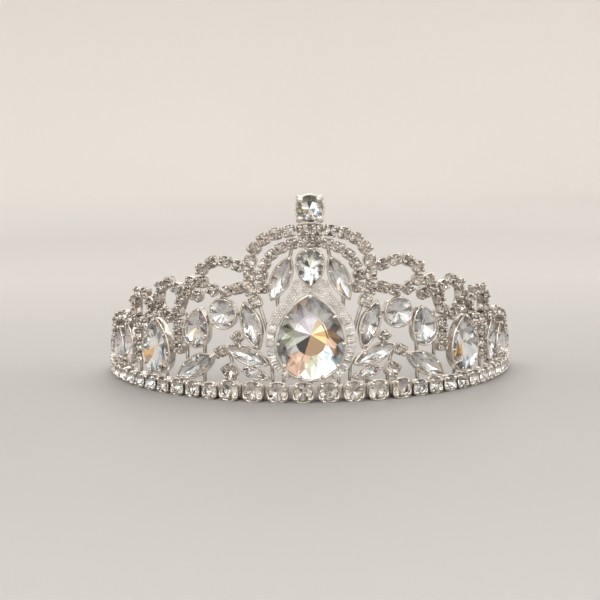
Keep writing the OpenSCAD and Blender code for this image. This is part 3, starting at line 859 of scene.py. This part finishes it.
def add_flutes(pieces, seat, middle, cut, front, height, below, rng):
    """Bright-cut ridges, cut by hand, that run outward over the plate beside the setting."""
    start, end_y, end_x = FLUTE_LIMITS
    kind, length, width = cut
    inner = outline((kind, length + start, width + start), FLUTE_STEPS) + middle
    outer = outline((kind, length + end_y, width + end_x), FLUTE_STEPS) + middle
    for i in range(0, FLUTE_STEPS, 2):
        a, b = inner[i], outer[i]
        side = (inner[(i + 1) % FLUTE_STEPS] - inner[i - 1]) * FLUTE_WIDTH
        wide = (outer[(i + 1) % FLUTE_STEPS] - outer[i - 1]) * FLUTE_WIDTH
        if b[1] > below or not (is_on(a, front) and is_on(b, front)):
            continue
        foot, ridge = height - 0.1 * MM, height + rng.uniform(0.25, 0.7) * MM
        near = a + (b - a) * rng.uniform(0.05, 0.25) + side * rng.uniform(-0.6, 0.6)
        far = b - (b - a) * rng.uniform(0.1, 0.4) + wide * rng.uniform(-0.6, 0.6)
        points = [[*(a - side), foot], [*(a + side), foot], [*(b + wide), foot],
                  [*(b - wide), foot], [*near, ridge], [*far, ridge]]
        faces = [(0, 1, 2, 3), (1, 0, 4), (3, 2, 5), (0, 3, 5, 4), (2, 1, 4, 5)]
        pieces.add(seat.world(points), faces, smooth=False)


def make_halo():
    """The plate round the centre pear: grained over its crest, bright-cut beside the stone, with
    its ground in a darker metal as painted shade between them.
    """
    node = "center_pear_halo"
    pieces = Pieces(node + "_grained")
    rng = np.random.default_rng(HALO_SEED)
    stone, cut, _ = stone_seats("center_pear_stone")[0]
    for points, triangles in solids(node):
        pieces.add(points, triangles.tolist(), PAINTED_SHADE_SLOT, smooth=False)
        seat = Seat(points, triangles)
        front, height = plate_front(seat, points, triangles)
        middle = seat.local(stone.origin[None])[0, :2]
        split = middle[1] + CREST_START * cut[1]
        add_grains(pieces, seat, front, height, split, rng)
        add_flutes(pieces, seat, middle, cut, front, height, split, rng)
    pieces.build([bright_metal, recess_painted_shade_metal], node)


# ---------- Wires, band and eyelets ----------

BAND_EDGE = 0.3 * MM
BAND_STEPS = 160
EYELET_SIDES = 40
TAB_HALF, TAB_EDGE, TAB_REACH = 1.3 * MM, 0.3 * MM, 7.2 * MM


def make_wires(node):
    """Drawn wire: each CAD wire's facets smoothed to a round section with soft ends."""
    mesh = frame["nodes"][node].data.copy()
    mesh.name = node + "_drawn"
    work = bmesh.new()
    work.from_mesh(mesh)
    bmesh.ops.remove_doubles(work, verts=work.verts, dist=0.002 * MM)
    bmesh.ops.join_triangles(
        work, faces=work.faces, angle_face_threshold=math.radians(25),
        angle_shape_threshold=math.radians(60),
    )
    for f in work.faces:
        f.smooth = True
    work.to_mesh(mesh)
    work.free()
    mesh.materials.clear()
    mesh.materials.append(frame_metal)
    piece = add_object(node + "_drawn", mesh)
    if "custom_normal" in mesh.attributes:
        mesh.attributes.remove(mesh.attributes["custom_normal"])
    soft = piece.modifiers.new("soft", "SUBSURF")
    soft.levels = soft.render_levels = 1
    finish_piece(piece, node)


def make_band():
    """The band strip, with rounded edges and flat ends."""
    node = "base_band"
    points, _ = solids(node)[0]
    d = points - AXIS
    radius = np.linalg.norm(d[:, :2], axis=1)
    half = np.abs(np.arctan2(d[:, 0], -d[:, 1])).max()
    heights = (points[:, 2].min(), points[:, 2].max())
    section = rounded_section((radius.min(), radius.max()), heights, BAND_EDGE, 3)
    rings = []
    for k in range(BAND_STEPS + 1):
        t = -half + 2 * half * k / BAND_STEPS
        s, c = math.sin(t), math.cos(t)
        rings.append([[AXIS[0] + r * s, AXIS[1] - r * c, z] for r, z in section])
    pieces = Pieces(node + "_strip")
    pieces.add(np.array(rings).reshape(-1, 3), bridge(len(section), BAND_STEPS + 1))
    pieces.build([frame_metal], node)


def make_eyelet(node, mount):
    """A lug with a rounded rim round its hole, and a tab soldered inside the band's end."""
    facts = next(m for m in frame["record"]["mounts"] if m["name"] == mount)
    centre, axis = np.array(facts["pos_m"]), unit(np.array(facts["axis"]))
    bore = facts["dims"]["r_mm"] * MM
    thick = facts["dims"]["length_mm"] * MM / 2
    low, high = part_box(node)
    outer = (high.z - low.z) / 2
    across = np.cross(UP, axis)
    if across[1] < 0:
        across = -across
    profile = [(bore, -thick * 0.7), (bore + 0.2 * MM, -thick), (outer - 0.35 * MM, -thick),
               (outer, -thick * 0.5)]
    profile += [(r, -z) for r, z in reversed(profile)]
    count = EYELET_SIDES
    a = round_angles(count)[:, None]
    ring = np.cos(a) * across + np.sin(a) * UP
    points = np.concatenate([centre + r * ring + z * axis for r, z in profile])
    faces = bridge(count, len(profile), closed_ends=False)
    last = (len(profile) - 1) * count
    faces += [(last + i, last + (i + 1) % count, (i + 1) % count, i) for i in range(count)]
    pieces = Pieces(node + "_lug")
    pieces.add(points, faces)
    add_tab(pieces, centre, axis, across, thick, bore)
    pieces.build([frame_metal], node)


def add_tab(pieces, centre, axis, across, thick, bore):
    """The tab from the lug to the inside of the band."""
    near, far = bore + 0.25 * MM, TAB_REACH
    section = rounded_section((-TAB_HALF, TAB_HALF), (-thick, thick), TAB_EDGE, 2)
    rings = []
    for d, scale in ((near, 0.8), (near + 0.2 * MM, 0.97), (near + 1 * MM, 0.97),
                     (far - 0.3 * MM, 0.97), (far, 0.8)):
        rings.append([centre - across * d + UP * u * scale + axis * v * scale for u, v in section])
    pieces.add(np.array(rings).reshape(-1, 3), bridge(len(section), len(rings)))


# ---------- Materials ----------

# Scales of the noise in the materials, per metre, and the depth of the metals' dents
METAL_PATCHES, METAL_POLISH, METAL_DENTS = 420, 900, 2400
DENT_DEPTH = 0.06 * MM
STONE_HAZE, FOIL_CLOUD = 300, 260


class Nodes:
    """A node tree, which is filled from empty."""

    def __init__(self, tree):
        self.tree = tree
        tree.nodes.clear()

    def feed(self, node, inputs):
        """Sets a node's inputs, each from another node's output or to a value."""
        for name, value in inputs.items():
            if isinstance(value, bpy.types.NodeSocket):
                self.tree.links.new(value, node.inputs[name])
            else:
                node.inputs[name].default_value = value
        return node

    def add(self, kind, inputs={}):
        return self.feed(self.tree.nodes.new("ShaderNode" + kind), inputs)

    def noise(self, scale, detail, roughness=0.55):
        where = self.add("TexCoord").outputs["Object"]
        inputs = {"Scale": scale, "Detail": detail, "Roughness": roughness, "Vector": where}
        return self.add("TexNoise", inputs).outputs["Fac"]

    def ramp(self, source, stops, steps="LINEAR"):
        """Colours that follow a source through these stops."""
        node = self.add("ValToRGB", {"Fac": source})
        elements = node.color_ramp.elements
        while len(elements) < len(stops):
            elements.new(0.5)
        for element, (position, colour) in zip(elements, stops):
            element.position = position
            element.color = (*colour, 1)
        node.color_ramp.interpolation = steps
        return node.outputs["Color"]

    def spread(self, source, low, high, start=0.0, end=1.0):
        """A value that runs from low to high while its source runs from start to end."""
        inputs = {"From Min": start, "From Max": end, "To Min": low, "To Max": high}
        return self.add("MapRange", {**inputs, "Value": source}).outputs["Result"]

    def mix(self, first, second, blend, factor=1.0):
        """Two colours mixed by a factor."""
        node = self.add("Mix")
        node.data_type = "RGBA"
        node.blend_type = blend
        return self.feed(node, {"Factor": factor, "A": first, "B": second}).outputs["Result"]

    def patches(self, where, scale, channel, stops):
        """Cells over the room, each of one even tone picked from these stops."""
        cells = self.add("TexVoronoi", {"Scale": scale, "Vector": where})
        split = self.add("SeparateColor", {"Color": cells.outputs["Color"]})
        return self.ramp(split.outputs[channel], stops, "CONSTANT")


def new_material(name):
    material = bpy.data.materials.new(name)
    material.use_nodes = True
    nodes = Nodes(material.node_tree)
    shader = nodes.add("BsdfPrincipled")
    nodes.add("OutputMaterial", {"Surface": shader.outputs["BSDF"]})
    return material, nodes, shader


def metal_material(name, pale, dull, rough, bump):
    """Plated metal: patches of warm and cool silver, uneven polish and fine dents."""
    material, nodes, shader = new_material(name)
    dents = nodes.noise(METAL_DENTS, 4, 0.6)
    relief = nodes.add("Bump", {"Strength": bump, "Distance": DENT_DEPTH, "Height": dents})
    nodes.feed(shader, {
        "Metallic": 1.0,
        "Base Color": nodes.ramp(nodes.noise(METAL_PATCHES, 4), [(0.35, dull), (0.62, pale)]),
        "Roughness": nodes.spread(nodes.noise(METAL_POLISH, 3), *rough),
        "Normal": relief.outputs["Normal"],
    })
    return material


def glass_material(name, ior):
    """Clear lead crystal, with a trace of haze that varies over the stone."""
    material, nodes, shader = new_material(name)
    haze = nodes.noise(STONE_HAZE, 2)
    nodes.feed(shader, {
        "Transmission Weight": 1.0,
        "IOR": ior,
        "Base Color": nodes.ramp(haze, [(0.3, (0.95, 0.95, 0.96)), (0.7, (1.0, 0.995, 0.985))]),
        "Roughness": nodes.spread(haze, 0.0, 0.03),
    })
    return material


def foil_material(name, metallic):
    """The foil behind a stone, partly mirror; each facet's colour is its painted reflection, which
    stands in for the reflections inside a real stone.
    """
    material, nodes, shader = new_material(name)
    facet = nodes.add("Attribute")
    facet.attribute_name = "painted_reflection"
    cloud = nodes.noise(FOIL_CLOUD, 3)
    tone = nodes.ramp(cloud, [(0.3, (0.86, 0.86, 0.87)), (0.7, (1.0, 1.0, 0.99))])
    nodes.feed(shader, {
        "Metallic": metallic,
        # Painted reflection: each facet's base colour is its painted reflection colour, times a
        # random tone
        "Base Color": nodes.mix(facet.outputs["Color"], tone, "MULTIPLY"),
        "Roughness": nodes.spread(cloud, 0.04, 0.16),
    })
    return material


def cloth_material():
    """A plain pale satin with painted light and shade: darker near the tiara, against the lamps'
    light there, and lighter behind the tiara and away from it.
    """
    material, nodes, shader = new_material("pale_table")
    shade = nodes.noise(1.6, 2)
    near_painted_shade_tone = nodes.ramp(shade, [(0.3, (0.405, 0.392, 0.38)), (0.7, (0.435, 0.422, 0.41))])
    far_painted_light_tone = nodes.ramp(shade, [(0.3, (0.73, 0.702, 0.674)), (0.7, (0.77, 0.742, 0.714))])
    where = nodes.add("TexCoord").outputs["Object"]
    away = nodes.add("VectorMath", {0: where})
    away.operation = "LENGTH"
    split = nodes.add("SeparateXYZ", {"Vector": where})
    # Painted light: the share of the lighter far tone, which grows away from the tiara and behind
    # it
    painted_light_share = nodes.add("Math", {
        0: nodes.spread(away.outputs["Value"], 0.0, 1.0, 0.15),
        1: nodes.spread(split.outputs["Y"], 0.0, 0.5, 0.0, 0.3),
    })
    painted_light_share.operation = "MAXIMUM"
    nodes.feed(shader, {
        "Base Color": nodes.mix(near_painted_shade_tone, far_painted_light_tone, "MIX", painted_light_share.outputs["Value"]),
        "Roughness": 0.55,
        "Specular IOR Level": 0.3,
    })
    return material


# ---------- Table, light and camera ----------

CAMERA_DISTANCE = 0.52
CAMERA_ELEVATION = math.radians(7.452)
CAMERA_ROLL = math.radians(-0.675)
CAMERA_AIM_X, CAMERA_AIM_Z = -0.003233, 0.023126
CAMERA_LENS = 87.58
KEY_POWER, FILL_POWER, FRONT_POWER, TOP_POWER = 2.4, 1.0, 1.4, 1.2
LIGHT_AIM = Vector((0, 0, 0.03))
ROOM_LIGHT = 0.98
TABLE_INNER, TABLE_REACH, TABLE_RISE, WALL_TOP = 0.3, 0.95, 0.22, 0.5
TABLE_STEPS, TABLE_SIDES = 14, 72


def make_table():
    """A pale table that curves up far behind the tiara, on every side, into a pale wall."""
    profile = [(TABLE_INNER, 0.0), (TABLE_REACH, 0.0)]
    for k in range(1, TABLE_STEPS + 1):
        a = math.pi / 2 * k / TABLE_STEPS
        profile.append((TABLE_REACH + TABLE_RISE * math.sin(a), TABLE_RISE * (1 - math.cos(a))))
    profile.append((TABLE_REACH + TABLE_RISE, WALL_TOP))
    points = np.concatenate([circle(r, z, TABLE_SIDES) for r, z in profile])
    faces = [f[::-1] for f in bridge(TABLE_SIDES, len(profile), closed_ends=False)]
    faces.append(tuple(range(TABLE_SIDES)))
    mesh = bpy.data.meshes.new("table")
    mesh.from_pydata(points.tolist(), [], faces)
    mesh.polygons.foreach_set("use_smooth", [True] * len(faces))
    mesh.materials.append(cloth_material())
    add_object("table", mesh)


def make_camera():
    data = bpy.data.cameras.new("camera")
    data.lens = CAMERA_LENS
    data.sensor_width = 36
    data.clip_start = 0.01
    aim = Matrix.Translation((CAMERA_AIM_X, AXIS[1], CAMERA_AIM_Z))
    lean = Matrix.Rotation(math.pi / 2 - CAMERA_ELEVATION, 4, "X")
    roll = Matrix.Rotation(CAMERA_ROLL, 4, "Z")
    camera = add_object("camera", data)
    camera.matrix_world = aim @ lean @ roll @ Matrix.Translation((0, 0, CAMERA_DISTANCE))
    bpy.context.scene.camera = camera


def add_area(name, place, size, power, colour):
    data = bpy.data.lights.new(name, "AREA")
    data.shape = "RECTANGLE"
    data.size, data.size_y = size
    data.energy = power
    data.color = colour
    light = add_object(name, data)
    light.location = place
    light.rotation_euler = (LIGHT_AIM - Vector(place)).to_track_quat("-Z", "Y").to_euler()


def make_lights():
    add_area("key", (-0.5, -0.7, 0.9), (0.3, 0.3), KEY_POWER, (1.0, 0.97, 0.93))
    add_area("fill", (0.8, -0.5, 0.5), (0.22, 0.22), FILL_POWER, (0.97, 0.98, 1.0))
    add_area("front", (0, -0.85, 0.42), (1.0, 0.5), FRONT_POWER, (1.0, 0.99, 0.98))
    add_area("top", (0.1, 0.2, 1.2), (0.5, 0.35), TOP_POWER, (1.0, 0.98, 0.96))


def make_world():
    """A pale room with window patches and darker stretches, so that polished facets differ."""
    world = bpy.data.worlds.new("pale_room")
    bpy.context.scene.world = world
    world.use_nodes = True
    nodes = Nodes(world.node_tree)
    where = nodes.add("TexCoord").outputs["Generated"]
    walls = nodes.patches(where, 2.3, "Red", [
        (0.0, (0.24, 0.22, 0.205)), (0.13, (0.68, 0.65, 0.62)), (0.42, (1.0, 0.975, 0.94)),
        (0.75, (1.65, 1.62, 1.58)),
    ])
    lamps = nodes.patches(where, 11.0, "Green", [(0.0, (0, 0, 0)), (0.95, (5, 4.9, 4.7))])
    colour = nodes.mix(walls, lamps, "LIGHTEN")
    room = nodes.add("Background", {"Color": colour, "Strength": ROOM_LIGHT})
    nodes.add("OutputWorld", {"Surface": room.outputs["Background"]})


# ---------- The tiara ----------

# The pale and the dull tone of each plated metal, its range of roughness and its dents' strength
frame_metal, setting_metal, bright_metal, recess_painted_shade_metal, base_row_painted_light_metal, chain_painted_shade_metal = (
    metal_material("silver_" + name, *looks) for name, *looks in (
        ("wire", (0.68, 0.645, 0.605), (0.47, 0.435, 0.40), (0.14, 0.34), 0.35),
        ("setting", (0.86, 0.815, 0.76), (0.56, 0.515, 0.46), (0.10, 0.28), 0.3),
        ("bright", (0.93, 0.915, 0.895), (0.74, 0.72, 0.70), (0.08, 0.2), 0.2),
        # recess: a darker copy of the bright metal, painted shade on the plate's ground between its
        # grains and ridges
        ("recess_painted_shade", (0.86, 0.84, 0.815), (0.60, 0.58, 0.555), (0.22, 0.42), 0.5),
        # base_row: a lighter copy of the cups' metal, painted light against the shade along the
        # base row; chain: a darker copy, painted shade on the arches' cups
        ("base_row", (0.90, 0.855, 0.80), (0.62, 0.575, 0.52), (0.10, 0.28), 0.3),
        ("chain", (0.72, 0.67, 0.615), (0.42, 0.38, 0.335), (0.12, 0.3), 0.35),
    )
)
gem_glass = glass_material("gem_crystal", 1.4)
gem_foil = foil_material("gem_foil", 0.75)
cup_foil = foil_material("cup_foil", 0.85)
pear_glass = glass_material("pear_crystal", 1.25)
side_glass = glass_material("side_crystal", 1.28)
pear_foil = foil_material("pear_foil", 0.85)

# The stones in cups, with the nodes of their cups
CUPS = {row + "_stones": [row + "_cups"] for row in (
    "base_center", "base_left", "base_right", "outer_arch", "inner_arch",
)}
CUPS.update({row + "_stones": [f"left_{row}_cups", f"right_{row}_cups"] for row in (
    "eye", "ring", "filler",
)})
# The stones in settings, by the first part of their nodes' names
CLAWED = [
    "upper_navette", "side_navette", "lower_navette", "leaf_navette", "wing_navette", "round",
    "small_pear", "side_pear", "far_navette", "end_pear", "tail_navette",
]
CUP_SEED, CLAWED_SEED = 20, 60
CUP_PARTS, CLAWED_PARTS = 1, 2
# How far above its middle the centre pear's facets meet, as a share of its length
PEAR_LIFT = 0.03
WIRES = [
    "arch_rails", "left_scroll_rails", "right_scroll_rails",
    "center_uprights", "left_uprights", "right_uprights",
]

for stone_node, cup_nodes in CUPS.items():
    for cup_node in cup_nodes:
        # The base row's cups get the metal painted lighter, the chains' cups the metal painted
        # darker
        make_cups(cup_node, stone_node, base_row_painted_light_metal if cup_node.startswith("base") else chain_painted_shade_metal)
for number, stone_node in enumerate(CUPS):
    cup_shares = BASE_SHARES if stone_node.startswith("base") else CHAIN_SHARES
    make_stones(stone_node, CUP_SEED + number, CUP_PARTS, cup_foil, CUP_PAINTED_REFLECTIONS, cup_shares)
for number, name in enumerate(CLAWED):
    stone_node = name + "_stones"
    make_settings(name + "_settings", stone_node)
    if name == "side_pear":
        make_tiered_stones(stone_node, SIDE_PAINTED_REFLECTIONS, side_glass)
    else:
        make_stones(stone_node, CLAWED_SEED + number, CLAWED_PARTS, gem_foil, GEM_PAINTED_REFLECTIONS, GEM_SHARES)
make_settings("top_drop_setting", "top_drop_stone")
make_tiered_stones("top_drop_stone", DROP_PAINTED_REFLECTIONS, side_glass)
make_settings("crown_setting", "crown_stone", 0.9 * MM, 1.15 * MM, grain=0.26 * MM)
make_tiered_stones("crown_stone", CROWN_PAINTED_REFLECTIONS, side_glass)
make_settings("center_pear_setting", "center_pear_stone", 0.5 * MM, 1.1 * MM, 120)
make_halo()
make_tiered_stones("center_pear_stone", PEAR_PAINTED_REFLECTIONS, pear_glass, PEAR_LIFT)
for wire_node in WIRES:
    make_wires(wire_node)
make_band()
make_eyelet("left_end_eyelet", "left_pin_eyelet")
make_eyelet("right_end_eyelet", "right_pin_eyelet")

bpy.context.scene.view_settings.view_transform = "Standard"
make_table()
make_lights()
make_world()
make_camera()
